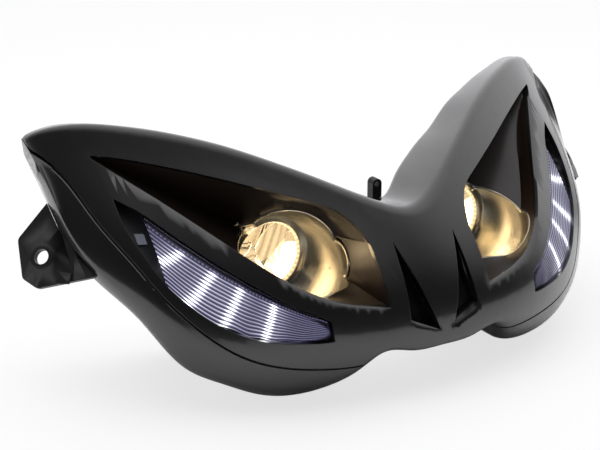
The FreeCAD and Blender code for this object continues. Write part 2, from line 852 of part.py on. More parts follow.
def glass_profile():
    return [
        ("0", "0.2"),
        (f"{GLASS_RAD} - 0.1", "0.2"),
        (f"{GLASS_RAD} - 0.1", "sizes.glass_thick + 0.1"),
        ("0", "sizes.glass_thick + 0.1"),
    ]


def capsule_profile():
    return [
        ("0", "sizes.capsule_start"),
        ("sizes.capsule_rad - 2.2", "sizes.capsule_start", "2.6"),
        ("sizes.capsule_rad", "sizes.capsule_start + 2.4"),
        ("sizes.capsule_rad", "sizes.lamp_long - 1"),
        ("0", "sizes.lamp_long - 1"),
    ]


def retainer_profile():
    return [
        ("sizes.bowl_rad + sizes.seat_gap", "sizes.rim_deep"),
        (LAMP_BORE, "sizes.rim_deep"),
        (LAMP_BORE, "sizes.rim_deep + sizes.clip_side"),
        ("sizes.bowl_rad + sizes.seat_gap", "sizes.rim_deep + sizes.clip_side"),
    ]


def holder_profile():
    end = "sizes.lamp_long + sizes.holder_long"
    return [
        ("0", "sizes.lamp_long"),
        ("sizes.holder_rad", "sizes.lamp_long"),
        ("sizes.holder_rad", f"{end} - 2"),
        ("sizes.holder_rad - 2", end),
        ("0", end),
    ]


def boot_profile():
    """Rubber boot with a conical wall, seated on the end of the tunnel, with a spout for the cable."""
    start = "(sizes.boot_start - sizes.lamp_y)"
    end = "(sizes.boot_bend - sizes.lamp_y)"
    floor = "(sizes.lamp_long + sizes.holder_long + sizes.plug_room)"
    back = f"({floor} + sizes.boot_wall)"
    room = "(sizes.holder_rad + sizes.holder_room)"
    return [
        (TUNNEL, end),
        (TUNNEL, start),
        (f"{TUNNEL} + sizes.boot_lip", start),
        (f"{TUNNEL} + sizes.boot_lip", f"{end} + sizes.boot_lip"),
        (f"{room} + sizes.boot_wall", back),
        ("sizes.spout_rad + 2", back),
        ("sizes.spout_rad", f"{back} + 2"),
        ("sizes.spout_rad", f"{back} + sizes.boot_spout"),
        ("sizes.spout_bore", f"{back} + sizes.boot_spout"),
        ("sizes.spout_bore", floor),
        (room, floor),
    ]


def lamp_pieces(side, sign):
    """The lamp in its cup, from the chromed cup at the front to the rubber boot at the rear."""
    here = f"{side}_lamp"
    opening = lamp_opening if sign > 0 else far_lamp_opening
    cup_blank = on_lamp(turned(f"{here}_cup_blank", cup_profile()), sign)
    cup_inside = common(f"{here}_cup_inside", cup_blank, cup_space)
    tray_space = tray_room if sign > 0 else far_tray_room
    room = on_lamp(turned(f"{here}_room", cup_clearance_profile()), sign)
    pins = []
    holes = []
    for i, way in enumerate((-1, 1)):
        x = f"{sign} * sizes.lamp_x + {way} * sizes.pin_half"
        start = "sizes.lamp_y + sizes.lamp_long - 1.5"
        end = f"{start} + 1.5 + sizes.pin_long"
        pins.append(along_depth(f"{here}_pin_{i}", "sizes.pin_rad", start, end, x, "sizes.lamp_z"))
        deep = f"{end} + 1"
        radius = "sizes.pin_rad + 0.2"
        holes.append(along_depth(f"{here}_pin_hole_{i}", radius, start, deep, x, "sizes.lamp_z"))
    bulb = on_lamp(turned(f"{here}_bulb", capsule_profile()), sign)
    boot = on_lamp(turned(f"{here}_boot", boot_profile()), sign)
    socket = on_lamp(turned(f"{here}_socket", holder_profile()), sign)
    return room, {
        f"{side}_lamp_cup": cut(f"{here}_cup", cup_inside, opening, tray_space),
        f"{side}_halogen_reflector": on_lamp(turned(f"{here}_bowl", bowl_profile()), sign),
        f"{side}_halogen_glass": on_lamp(turned(f"{here}_glass", glass_profile()), sign),
        f"{side}_halogen_capsule": fused(f"{here}_capsule", bulb, *pins),
        f"{side}_lamp_retainer": on_lamp(turned(f"{here}_retainer", retainer_profile()), sign),
        f"{side}_lamp_holder": cut(f"{here}_holder", socket, *holes),
        f"{side}_rear_boot": cut(f"{here}_boot_cut", boot, body_room),
    }


# Pockets and light strips


def lens_wire(span, upper, lower):
    """Outline of the ribbed lens at one place along the strip."""
    gap = size("seat_gap")
    ribs = int(size("lens_ribs"))
    top, low = upper - gap, lower + gap
    top_y, low_y = face_depth(span, upper), face_depth(span, lower)

    def lens_point(share, lift):
        bow = size("lens_bow") * 4 * share * (1 - share)
        depth = low_y + (top_y - low_y) * share + size("lens_set") - bow - lift
        return (span, depth, low + (top - low) * share)

    front = [lens_point(i / (2 * ribs), size("lens_rib") * (i % 2)) for i in range(2 * ribs + 1)]
    back = [lens_point(i / 4, -size("lens_thick")) for i in range(4, -1, -1)]
    return polygon(front + back)


def strip_lens():
    """Ribbed lens over the lower part of the strip's window."""
    rows = strip_rows()
    upper = [(row[0], row[1]) for row in rows]
    lower = [(row[0], row[2]) for row in rows]
    start, end = size("lens_start"), size("lens_end")
    inner = [row[0] for row in rows if start + 2 < row[0] < end - 2]
    spans = [start] + inner + [end]
    return Part.makeLoft([lens_wire(x, monotone(upper, x), monotone(lower, x)) for x in spans], True, True)


def diode_columns():
    """Square columns at the middle of the strip, one for each light-emitting diode."""
    side = size("diode_side")
    columns = []
    for row in STRIP_WINDOW[2:8]:
        x = size(f"{row[0]}_x")
        z = (size(f"{row[0]}_upper") + size(f"{row[0]}_lower")) / 2
        columns.append(Part.makeBox(side, 260, side, Vec(x - side / 2, -40, z - side / 2)))
    return Part.makeCompound(columns)


gap = size("seat_gap")
board_back = strip_deep - 0.2
board_front = board_back - size("board_thick")
pocket_outside = feature("pocket_outside", lamp_hollow(size("pocket_wall")))
pocket_inside = common("pocket_inside", pocket_outside, inside_form)
tray_outside = feature("tray_outside", strip_slab(None, strip_deep + tray_wall, tray_wall))
tray_inside = common("tray_inside", tray_outside, inside_form)
tray_hollow = feature("tray_hollow", strip_slab(None, strip_deep))
tray_room = feature("tray_room", strip_slab(None, strip_deep + tray_wall + gap, tray_wall + gap))
far_tray_room = mirrored("far_tray_room", tray_room)
rear_space = feature("rear_space", Part.makeBox(2 * HALF, 60, 160, Vec(-HALF, size("lamp_y") - 5, 0)))
cup_space = fused("cup_space", inside_form, rear_space)
board_slab = feature("board_slab", strip_slab(board_front, board_back, -gap))
diode_slab = feature("diode_slab", strip_slab(board_front - size("diode_height"), board_front, -gap))
columns = feature("diode_columns", diode_columns())


# Mounting ears


EAR_OUT = Vec(0.64, -0.54, 0.55).normalize()
EAR_UP = (Vec(0, 0, 1) - EAR_OUT * EAR_OUT.z).normalize()
EAR_ALONG = EAR_OUT.cross(EAR_UP)


def ear_point(along, up, out=0.0):
    """Point of the right ear, from its bore: along towards the body, up, and out of the plate."""
    bore = Vec(size("ear_x"), size("ear_y"), size("ear_z"))
    return bore + EAR_ALONG * along + EAR_UP * up + EAR_OUT * out


def ear_prism(corners, low, high):
    outline = Part.makePolygon([ear_point(*corner, low) for corner in corners + corners[:1]])
    return Part.Face(outline).extrude(EAR_OUT * (high - low))


def right_ear():
    """Plate with a bore in a raised ring, a slot, a folded rib and a foot on the housing's flank."""
    corners = [(size(f"{row[0]}_along"), size(f"{row[0]}_up")) for row in EAR]
    high = size("ear_lift")
    low = high - size("ear_thick")
    plate = ear_prism(corners, low, high)
    upright = [edge for edge in plate.Edges if abs(edge.tangentAt(edge.FirstParameter).dot(EAR_OUT)) > 0.999]
    plate = plate.makeFillet(5.0, upright[1:4])
    ring = Part.makeCylinder(size("ear_boss"), size("ear_boss_deep"), ear_point(0, 0, high), EAR_OUT)
    rib = ear_prism([(2, 33), (34, -9), (26, -11)], high, high + 1.5)
    tab = ear_prism([(14, -8), (23, -8), (23, -15), (14, -16)], high, high + 1.0)
    bore = Part.makeCylinder(size("ear_bore"), 30, ear_point(0, 0, -15), EAR_OUT)
    half = size("ear_slot_wide") / 2
    reach = size("ear_slot_long") / 2 - half
    along, up = size("ear_slot_along"), size("ear_slot_up")
    slot = ear_prism(
        [
            (along - half, up - reach),
            (along + half, up - reach),
            (along + half, up + reach),
            (along - half, up + reach),
        ],
        -15,
        15,
    )
    for way in (-1, 1):
        slot = slot.fuse(Part.makeCylinder(half, 30, ear_point(along, up + way * reach, -15), EAR_OUT))
    return plate.fuse([ring, rib, tab]).cut([bore, slot])


def housing_screw(row, sign):
    """Pan-headed screw that points forward from its seat."""
    seat, head = size(f"{row}_y"), size("screw_head_deep")
    x, z = sign * size(f"{row}_x"), size(f"{row}_z")
    back = Vec(x, seat, z)
    shank = Part.makeCylinder(size("screw_rad"), size("screw_long"), back, Vec(0, -1, 0))
    cap = Part.makeCylinder(size("screw_head"), head, back, Vec(0, 1, 0))
    recess = Part.makeCylinder(size("screw_head") / 3, head / 2, back + Vec(0, head, 0), Vec(0, -1, 0))
    return shank.fuse(cap).cut(recess).removeSplitter()


ear_plate = feature("ear_plate", right_ear())
body_room = feature("body_room", body_form(-size("seat_on_body")))
right_ear_blank = cut("right_ear_blank", ear_plate, body_room)

lug_plate = feature("lug_plate", saddle_lug())
lug = cut("lug", lug_plate, body_room)

nodes = {
    "front_cover": front_cover,
    "seam_gasket": seam_gasket,
    "rear_housing": rear_housing,
    "saddle_lug": lug,
}
rooms = []
for side, sign in SIDES:
    room, pieces = lamp_pieces(side, sign)
    rooms.append(room)
    nodes.update(pieces)

pocket_blank = cut("pocket_blank", pocket_inside, lamp_opening, rooms[1], tray_room)
doc.recompute()
right_pieces = {
    "lamp_pocket": feature("pocket", largest(pocket_blank.Shape), Vec()),
    "strip_tray": cut("tray_blank", tray_inside, tray_hollow),
    "strip_board": common("board_blank", board_slab, tray_hollow),
    "strip_diodes": common("diodes_blank", diode_slab, columns),
    "strip_lens": feature("lens_blank", strip_lens()),
    "mounting_ear": right_ear_blank,
}
for name, piece in right_pieces.items():
    nodes[f"right_{name}"] = piece
    nodes[f"left_{name}"] = mirrored(f"left_{name}", piece)

screws = [housing_screw(row[0], sign) for row in SCREWS for _, sign in SIDES]
nodes["housing_screws"] = feature("housing_screws", Part.makeCompound(screws))


# Labels, checks and files

for name, item in nodes.items():
    item.Label = name
doc.recompute()

for item in doc.Objects:
    if {"Invalid", "Error"} & set(item.State):
        raise RuntimeError(f"{item.Label} failed: {item.State}")
for name, item in nodes.items():
    if item.Shape.isNull() or not item.Shape.isValid():
        raise RuntimeError(f"{name} has no valid shape")
    item.Shape.exportStep(f"parts/{name}.step")
    print(name, len(item.Shape.Solids), "solids", round(item.Shape.Volume / 1000, 2), "cm3")
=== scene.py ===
import logging
import math
from dataclasses import dataclass, field
from enum import Enum

import bmesh
import bpy
import numpy as np
from mathutils import Matrix, Vector


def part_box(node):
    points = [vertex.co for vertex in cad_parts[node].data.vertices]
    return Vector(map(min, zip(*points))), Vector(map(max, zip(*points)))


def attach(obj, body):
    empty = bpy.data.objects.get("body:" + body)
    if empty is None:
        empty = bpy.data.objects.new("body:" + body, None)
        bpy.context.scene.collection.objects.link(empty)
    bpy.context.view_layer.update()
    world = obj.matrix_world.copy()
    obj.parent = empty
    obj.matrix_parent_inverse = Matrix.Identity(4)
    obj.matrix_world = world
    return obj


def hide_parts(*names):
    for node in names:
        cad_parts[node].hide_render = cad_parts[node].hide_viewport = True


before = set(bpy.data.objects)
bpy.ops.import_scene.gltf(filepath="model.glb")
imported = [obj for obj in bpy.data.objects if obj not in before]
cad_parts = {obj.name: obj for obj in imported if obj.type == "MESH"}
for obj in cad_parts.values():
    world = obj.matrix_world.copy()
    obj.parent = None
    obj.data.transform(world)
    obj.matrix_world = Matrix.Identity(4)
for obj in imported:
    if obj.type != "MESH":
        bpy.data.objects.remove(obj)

LOG = logging.getLogger("headlight")
BODY = "root"
WELD = 2e-6
RIBS = 14
ROOM_MIDDLE = 0.5
Color = tuple[float, float, float]
Point = tuple[float, float, float]


class Side(Enum):
    """The two halves of the part, as seen by someone who faces the lamps."""

    LEFT = -1
    RIGHT = 1

    def node(self, piece: str) -> str:
        """Name of this side's node for a piece."""
        return f"{self.name.lower()}_{piece}"


class Shading(Enum):
    """Largest angle, in degrees, between two faces that are shaded as one surface."""

    ROUND = 60.0
    MOULDED = 28.0
    CRISP = 18.0


# Meshes


def closed_grid(rows: int, columns: int, wrap_rows: bool, wrap_columns: bool) -> np.ndarray:
    """Quads between the points of a grid.

    The corner numbers are row * columns + column, taken round each cell, and the last row or column
    is followed by the first where the grid wraps.

    Args:
        rows: number of rows of points.
        columns: number of columns of points.
        wrap_rows: join the last row to the first.
        wrap_columns: join the last column to the first.

    Returns:
        An array of four corner numbers for each quad.
    """
    row = np.arange(rows if wrap_rows else rows - 1)
    column = np.arange(columns if wrap_columns else columns - 1)
    i, j = (a.ravel() for a in np.meshgrid(row, column, indexing="ij"))
    below, right = (i + 1) % rows, (j + 1) % columns
    return np.stack([i * columns + j, below * columns + j, below * columns + right, i * columns + right], 1)


def mesh_from(name: str, points: np.ndarray, quads: np.ndarray) -> bpy.types.Mesh:
    """Mesh from arrays of points and quads, welded, closed at its poles and with its faces outwards."""
    mesh = bpy.data.meshes.new(name)
    mesh.vertices.add(len(points))
    mesh.vertices.foreach_set("co", points.astype(np.float32).ravel())
    mesh.loops.add(quads.size)
    mesh.loops.foreach_set("vertex_index", quads.astype(np.int32).ravel())
    mesh.polygons.add(len(quads))
    mesh.polygons.foreach_set("loop_start", np.arange(0, quads.size, 4, dtype=np.int32))
    mesh.update(calc_edges=True)
    weld(mesh)
    return mesh


def weld(mesh: bpy.types.Mesh) -> None:
    """Merge the points of a mesh that lie together, drop what that flattens and turn its faces outwards."""
    work = bmesh.new()
    work.from_mesh(mesh)
    bmesh.ops.remove_doubles(work, verts=work.verts, dist=WELD)
    bmesh.ops.dissolve_degenerate(work, edges=work.edges, dist=WELD)
    bmesh.ops.recalc_face_normals(work, faces=work.faces)
    work.to_mesh(mesh)
    work.free()


def lathe(profile: np.ndarray, centre: Vector, segments: int, swell: np.ndarray | None = None) -> np.ndarray:
    """Points of a profile turned about the depth axis.

    A point at radius r and depth d goes to (r cos a, d, r sin a) from the centre, at each angle a.

    Args:
        profile: rows of (radius, depth), in metres.
        centre: point on the axis at depth 0.
        segments: number of angles.
        swell: how much is added to the radius, one row for each point of the profile, one column for
            each angle, or None.

    Returns:
        An array of points, shaped (profile points, segments, 3).
    """
    angle = np.linspace(0.0, 2 * math.pi, segments, endpoint=False)
    radius = np.repeat(profile[:, :1], segments, 1)
    if swell is not None:
        radius = radius + swell
    depth = np.repeat(profile[:, 1:], segments, 1)
    points = np.stack([radius * np.cos(angle), depth, radius * np.sin(angle)], 2)
    return points + np.array(centre)


def curve_through(places: np.ndarray, values: np.ndarray, wanted: np.ndarray) -> np.ndarray:
    """Smooth curve through given points, by a cubic between each pair of neighbours.

    Args:
        places: where the points lie, rising.
        values: the value at each of them.
        wanted: places to find the curve at.

    Returns:
        The value at each wanted place. Past the ends the curve stays level.
    """
    tangent = np.gradient(values, places)
    wanted = np.clip(wanted, places[0], places[-1])
    cell = np.clip(np.searchsorted(places, wanted, side="right") - 1, 0, len(places) - 2)
    step = places[cell + 1] - places[cell]
    u = (wanted - places[cell]) / step
    return (
        (1 + 2 * u) * (1 - u) ** 2 * values[cell]
        + u * (1 - u) ** 2 * step * tangent[cell]
        + u * u * (3 - 2 * u) * values[cell + 1]
        + u * u * (u - 1) * step * tangent[cell + 1]
    )


def mesh_points(mesh: bpy.types.Mesh) -> np.ndarray:
    """Points of a mesh as rows of x, y, z."""
    points = np.empty(len(mesh.vertices) * 3)
    mesh.vertices.foreach_get("co", points)
    return points.reshape(-1, 3)


def paint(mesh: bpy.types.Mesh, name: str, values: np.ndarray) -> None:
    """Give each point of a mesh a number that its material can read."""
    mesh.attributes.new(name, "FLOAT", "POINT").data.foreach_set("value", values.astype(np.float32))


def hump(values: np.ndarray, middle: float, reach: float) -> np.ndarray:
    """Bell curve of height 1 about the middle."""
    return np.exp(-(((values - middle) / reach) ** 2))


def place(
    name: str, mesh: bpy.types.Mesh, finish: "Finish", shading: Shading, *nodes: str
) -> bpy.types.Object:
    """Add a piece that stands for the named nodes, or for none, and dress it.

    Args:
        name: name of the piece.
        mesh: its mesh, in the part's own frame.
        finish: what it is made of.
        shading: which of its edges stay sharp.
        *nodes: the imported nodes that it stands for.

    Returns:
        The new object.
    """
    piece = bpy.data.objects.new(name, mesh)
    bpy.context.scene.collection.objects.link(piece)
    mesh.shade_smooth()
    mesh.set_sharp_from_angle(angle=math.radians(shading.value))
    mesh.materials.clear()
    mesh.materials.append(finish.material())
    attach(piece, BODY)
    if nodes:
        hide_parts(*nodes)
    LOG.info("%s: %d faces, %s", name, len(mesh.polygons), finish.slot)
    return piece


def resurface(node: str, finish: "Finish", shading: Shading) -> bpy.types.Object:
    """Stand a welded, smoothly shaded copy of a node in its place."""
    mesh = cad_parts[node].data.copy()
    weld(mesh)
    return place(f"{node}_skin", mesh, finish, shading, node)


# Shader nodes


class Tree:
    """A node tree with short calls to add and join nodes."""

    def __init__(self, tree: bpy.types.NodeTree) -> None:
        """Keep the tree and clear it."""
        self.tree = tree
        tree.nodes.clear()

    def add(self, kind: str, **values: object) -> bpy.types.Node:
        """Add a node and set its properties.

        Args:
            kind: node type, without its ShaderNode prefix.
            **values: properties of the node.

        Returns:
            The node.
        """
        prefix = "" if kind.startswith("Node") else "ShaderNode"
        node = self.tree.nodes.new(prefix + kind)
        for key, value in values.items():
            setattr(node, key, value)
        return node

    def join(self, source: bpy.types.NodeSocket, target: bpy.types.NodeSocket) -> None:
        """Link one socket to another."""
        self.tree.links.new(source, target)

    def math(
        self, operation: str, first: object, second: object = 0.0, third: object = 0.5, clamp: bool = False
    ) -> bpy.types.NodeSocket:
        """Result of a Math node on sockets or numbers. Only MULTIPLY_ADD uses the third."""
        node = self.add("Math", operation=operation, use_clamp=clamp)
        for socket, value in zip(node.inputs, (first, second, third)):
            if isinstance(value, bpy.types.NodeSocket):
                self.join(value, socket)
            else:
                socket.default_value = value
        return node.outputs[0]

    def mix(self, factor: bpy.types.NodeSocket, low: Color, high: Color) -> bpy.types.NodeSocket:
        """Colour between two others, by a factor that changes over the surface."""
        node = self.add("Mix", data_type="RGBA")
        self.join(factor, node.inputs["Factor"])
        node.inputs["A"].default_value = (*low, 1.0)
        node.inputs["B"].default_value = (*high, 1.0)
        return node.outputs["Result"]

    def spread(self, value: bpy.types.NodeSocket, low: float, high: float) -> bpy.types.NodeSocket:
        """A value from 0 to 1 carried to a range from low to high."""
        node = self.add("MapRange")
        self.join(value, node.inputs["Value"])
        node.inputs["To Min"].default_value = low
        node.inputs["To Max"].default_value = high
        return node.outputs["Result"]


def group(
    name: str, inputs: dict[str, float], outputs: dict[str, str]
) -> tuple[Tree, bpy.types.Node, bpy.types.Node]:
    """Start a shader node group.

    Args:
        name: name of the group.
        inputs: name and default of each number that goes in.
        outputs: name and socket type of each value that comes out.

    Returns:
        The group's tree, its input node and its output node.
    """
    made = bpy.data.node_groups.new(name, "ShaderNodeTree")
    for key, value in inputs.items():
        made.interface.new_socket(key, in_out="INPUT", socket_type="NodeSocketFloat").default_value = value
    for key, kind in outputs.items():
        made.interface.new_socket(key, in_out="OUTPUT", socket_type=kind)
    tree = Tree(made)
    return tree, tree.add("NodeGroupInput"), tree.add("NodeGroupOutput")


def grain_group() -> bpy.types.NodeTree:
    """Fine grain of a moulded surface, with the broad, faint waves that handling leaves on it.

    Returns:
        A group that turns a grain size into a Height for bump and a Haze from 0 to 1.
    """
    name = "moulded_grain"
    fine_detail, broad_detail, broad_roughness = 3.0, 4.0, 0.6
    if name in bpy.data.node_groups:
        return bpy.data.node_groups[name]
    tree, source, target = group(
        name,
        {"Scale": 900.0, "Haze Scale": 18.0},
        {"Height": "NodeSocketFloat", "Haze": "NodeSocketFloat"},
    )
    coordinates = tree.add("TexCoord")
    fine = tree.add("TexNoise", noise_dimensions="3D")
    fine.inputs["Detail"].default_value = fine_detail
    tree.join(coordinates.outputs["Object"], fine.inputs["Vector"])
    tree.join(source.outputs["Scale"], fine.inputs["Scale"])
    broad = tree.add("TexNoise", noise_dimensions="3D")
    broad.inputs["Detail"].default_value = broad_detail
    broad.inputs["Roughness"].default_value = broad_roughness
    tree.join(coordinates.outputs["Object"], broad.inputs["Vector"])
    tree.join(source.outputs["Haze Scale"], broad.inputs["Scale"])
    tree.join(fine.outputs["Fac"], target.inputs["Height"])
    tree.join(broad.outputs["Fac"], target.inputs["Haze"])
    return tree.tree


# Finishes


@dataclass(frozen=True)
class Finish:
    """What every finish has: the record's slot, its colour and how rough it is.

    Attributes:
        slot: the record's name for what the piece is made of.
        color: its colour.
        shade: the colour that it drifts to in broad patches.
        roughness: how rough it is on average.
        haze: how much the roughness drifts either way.
        grain: scale of the fine grain.
        relief: height of the grain, in metres.
        metal: 1 for bare metal, 0 for anything else.
        coat: weight of a clear coat.
        coat_roughness: how rough that coat is.
        sheen: weight of a soft sheen.
        clear: how much light passes through.
        index: index of refraction.
        glow: strength of its own light.
        edge: radius that sharp edges seem to have, in metres, or 0.
        edge_samples: how finely that radius is sampled.
        variant: tells two finishes of one slot apart.
    """

    slot: str
    color: Color
    shade: Color
    roughness: float
    haze: float = 0.05
    grain: float = 900.0
    relief: float = 0.00001
    metal: float = 0.0
    coat: float = 0.0
    coat_roughness: float = 0.05
    sheen: float = 0.0
    clear: float = 0.0
    index: float = 1.5
    glow: float = 0.0
    edge: float = 0.0
    edge_samples: int = 6
    variant: str = "finish"

    def material(self) -> bpy.types.Material:
        """The finish as a material, made once."""
        name = f"{self.slot}_{self.variant}"
        if name in bpy.data.materials:
            return bpy.data.materials[name]
        made = bpy.data.materials.new(name)
        made.use_nodes = True
        tree = Tree(made.node_tree)
        shader = tree.add("BsdfPrincipled")
        output = tree.add("OutputMaterial")
        tree.join(shader.outputs["BSDF"], output.inputs["Surface"])
        for key, value in (
            ("Metallic", self.metal),
            ("IOR", self.index),
            ("Coat Weight", self.coat),
            ("Coat Roughness", self.coat_roughness),
            ("Sheen Weight", self.sheen),
            ("Transmission Weight", self.clear),
            ("Emission Strength", self.glow),
        ):
            shader.inputs[key].default_value = value
        self.dress(tree, shader)
        return made

    def dress(self, tree: Tree, shader: bpy.types.Node) -> None:
        """Join the patterns of the finish to its shader: colour, roughness and relief."""
        grain = tree.add("Group")
        grain.node_tree = grain_group()
        grain.inputs["Scale"].default_value = self.grain
        haze = grain.outputs["Haze"]
        tree.join(tree.mix(haze, self.color, self.shade), shader.inputs["Base Color"])
        low, high = max(self.roughness - self.haze, 0.0), self.roughness + self.haze
        tree.join(tree.spread(haze, low, high), shader.inputs["Roughness"])
        bump = tree.add("Bump")
        bump.inputs["Distance"].default_value = self.relief
        tree.join(grain.outputs["Height"], bump.inputs["Height"])
        tree.join(bump.outputs["Normal"], shader.inputs["Normal"])
        if self.edge > 0.0:
            rounded = tree.add("Bevel", samples=self.edge_samples)
            rounded.inputs["Radius"].default_value = self.edge
            tree.join(rounded.outputs["Normal"], bump.inputs["Normal"])


@dataclass(frozen=True)
class LitReflector(Finish):
    """Mirror-coated glass with flutes, filled with a painted glow that stands in for the light of its own
    lamp mirrored in it.

    Its mesh carries two numbers: "from_axis", in metres, and "flute", from 0 at a ridge to 1 in a
    flute.
    """

    core: Color = (1.0, 0.93, 0.80)
    rim: Color = (1.0, 0.74, 0.42)
    core_glow: float = 4.2
    rim_glow: float = 0.85
    flute_shade: float = 0.5
    reach: float = 0.0235

    def dress(self, tree: Tree, shader: bpy.types.Node) -> None:
        """Add a painted glow that falls off from the lamp's axis to its rim, broken by painted shade in the
        flutes.
        """
        super().dress(tree, shader)
        seat = tree.add("Attribute", attribute_name="from_axis")
        flute = tree.add("Attribute", attribute_name="flute")
        share = tree.math("DIVIDE", seat.outputs["Fac"], self.reach, clamp=True)
        tree.join(tree.mix(share, self.core, self.rim), shader.inputs["Emission Color"])
        # Painted shade: the painted glow is dimmer deep in the flutes.
        deep = tree.math("MULTIPLY", flute.outputs["Fac"], share)
        shade = tree.math("MULTIPLY", deep, self.flute_shade)
        left = tree.math("SUBTRACT", 1.0, shade)
        glow = tree.spread(share, self.core_glow, self.rim_glow)
        tree.join(tree.math("MULTIPLY", glow, left), shader.inputs["Emission Strength"])


@dataclass(frozen=True)
class Lit(Finish):
    """A surface that gives off light of its own, a little uneven."""

    light: Color = (1.0, 1.0, 1.0)
    dim: Color = (0.8, 0.8, 0.8)

    def dress(self, tree: Tree, shader: bpy.types.Node) -> None:
        """Add a light whose colour changes a little over the surface."""
        super().dress(tree, shader)
        ripple = tree.add("TexNoise")
        ripple.inputs["Scale"].default_value = self.grain
        coordinates = tree.add("TexCoord")
        tree.join(coordinates.outputs["Object"], ripple.inputs["Vector"])
        tree.join(tree.mix(ripple.outputs["Fac"], self.dim, self.light), shader.inputs["Emission Color"])


@dataclass(frozen=True)
class LitLens(Finish):
    """Clear ribbed plastic, with painted light that stands in for a row of diodes lighting it from behind.

    Its mesh carries three numbers: "across", from 0 to 1 over the ribs, "lit", how much painted light comes
    through, and "bars", how near a diode is.
    """

    ridge_power: float = 2.5
    veil: float = 0.05
    line: float = 0.95
    burst: float = 4.0
    burst_veil: float = 0.12
    dim: Color = (0.36, 0.33, 0.80)
    bright: Color = (0.93, 0.94, 1.0)
    painted_shade: Color = (0.012, 0.009, 0.026)

    def dress(self, tree: Tree, shader: bpy.types.Node) -> None:
        """Add painted light, bright lines along the ribs and brighter bars at the diodes, and painted shade
        where no light comes through.
        """
        super().dress(tree, shader)
        across = tree.add("Attribute", attribute_name="across").outputs["Fac"]
        lit = tree.add("Attribute", attribute_name="lit").outputs["Fac"]
        bars = tree.add("Attribute", attribute_name="bars").outputs["Fac"]
        turn = tree.math("MULTIPLY", across, 2 * math.pi * RIBS)
        wave = tree.math("MULTIPLY_ADD", tree.math("COSINE", turn), 0.5, 0.5)
        ridge = tree.math("POWER", wave, self.ridge_power)
        steady = tree.math("MULTIPLY", tree.spread(ridge, self.veil, self.line), lit)
        burst = tree.math("MULTIPLY", tree.spread(ridge, self.burst_veil, 1.0), bars)
        light = tree.math("ADD", steady, tree.math("MULTIPLY", burst, self.burst))
        shown = tree.math("MULTIPLY", light, 1.0, clamp=True)
        tree.join(tree.mix(shown, self.dim, self.bright), shader.inputs["Emission Color"])
        tree.join(light, shader.inputs["Emission Strength"])
        # Painted shade: the base colour darkens where less painted light comes through.
        tree.join(tree.mix(lit, self.painted_shade, self.color), shader.inputs["Base Color"])


GLOSS = Finish(
    "gloss_black",
    (0.006, 0.006, 0.0065),
    (0.009, 0.0085, 0.009),
    0.30,
    haze=0.03,
    coat=1.0,
    coat_roughness=0.09,
    relief=0.000003,
    edge=0.0007,
)
# Painted warm glow: a warm copy of gloss black, tinted brown to stand in for the halogen light that falls in
# the pocket.
POCKET_PAINTED_GLOW = Finish(
    "gloss_black",
    (0.010, 0.006, 0.004),
    (0.014, 0.008, 0.005),
    0.38,
    haze=0.04,
    coat=0.35,
    coat_roughness=0.2,
    variant="pocket",
)
SATIN = Finish(
    "satin_black",
    (0.010, 0.010, 0.011),
    (0.015, 0.014, 0.015),
    0.40,
    haze=0.06,
    relief=0.00003,
    edge=0.0005,
)
RUBBER = Finish(
    "seal_rubber", (0.012, 0.012, 0.012), (0.02, 0.02, 0.02), 0.72, relief=0.00004, sheen=0.15
)
CHROME = Finish(
    "chrome", (0.78, 0.74, 0.64), (0.66, 0.62, 0.52), 0.22, haze=0.05, metal=1.0, relief=0.00002
)
STEEL = Finish("zinc_steel", (0.58, 0.58, 0.6), (0.45, 0.45, 0.47), 0.32, metal=1.0)
GLASS = Finish(
    "clear_glass", (1.0, 0.98, 0.94), (1.0, 0.99, 0.97), 0.02, haze=0.01, relief=0.000001, clear=1.0
)
LENS = LitLens(
    "clear_plastic", (0.05, 0.05, 0.085), (0.4, 0.4, 0.5), 0.12, haze=0.03, relief=0.000002, coat=1.0
)
BOARD = Finish("circuit_board", (0.012, 0.012, 0.016), (0.02, 0.02, 0.026), 0.35, haze=0.08)
DIODE = Lit(
    "lit_diode",
    (0.1, 0.1, 0.13),
    (0.12, 0.12, 0.16),
    0.3,
    glow=0.08,
    light=(0.86, 0.9, 1.0),
    dim=(0.7, 0.76, 1.0),
)
QUARTZ = Lit(
    "lit_quartz",
    (1.0, 0.9, 0.7),
    (1.0, 0.85, 0.6),
    0.15,
    glow=14.0,
    light=(1.0, 0.9, 0.7),
    dim=(1.0, 0.8, 0.5),
)
CERAMIC = Finish("pale_ceramic", (0.78, 0.76, 0.7), (0.66, 0.63, 0.57), 0.7, relief=0.00003)
MIRROR = LitReflector("mirror_coat", (0.5, 0.45, 0.36), (0.45, 0.4, 0.32), 0.2, metal=1.0)


# Sub-assemblies


@dataclass
class Shell:
    """The front cover, the rear housing, the gasket between them, their screws and the saddle lug."""

    def build(self) -> None:
        """Dress the shell."""
        resurface("front_cover", GLOSS, Shading.MOULDED)
        resurface("rear_housing", GLOSS, Shading.MOULDED)
        resurface("seam_gasket", RUBBER, Shading.MOULDED)
        resurface("housing_screws", STEEL, Shading.MOULDED)
        resurface("saddle_lug", SATIN, Shading.MOULDED)


